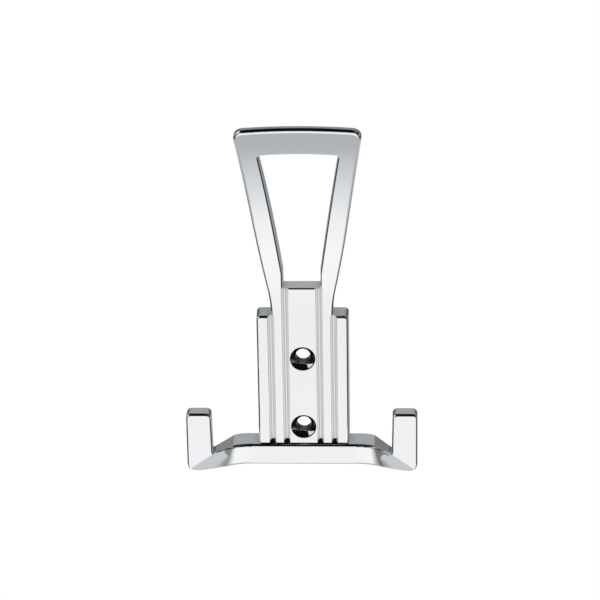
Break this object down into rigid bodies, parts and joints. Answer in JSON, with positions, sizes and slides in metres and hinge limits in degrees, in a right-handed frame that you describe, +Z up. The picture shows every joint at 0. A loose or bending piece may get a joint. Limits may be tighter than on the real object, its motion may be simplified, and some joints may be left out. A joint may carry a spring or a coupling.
{
  "type": "wall hook",
  "caption": "Polished cast wall hook with a ribbed back plate, a tall leaning loop for hats and two short upright hooks that sweep out from a cross bar.",
  "frame": {"origin": "on the wall plane, midway between the centres of the two screw holes", "axes": "+Z up the plate and the loop, +Y into the wall, +X to the right as seen from the front"},
  "size_m": [0.077, 0.0243, 0.1257],
  "materials": {
    "chrome": "polished chrome plate"
  },
  "bodies": {
    "root": {"hook_casting": "chrome"}
  },
  "joints": []
}
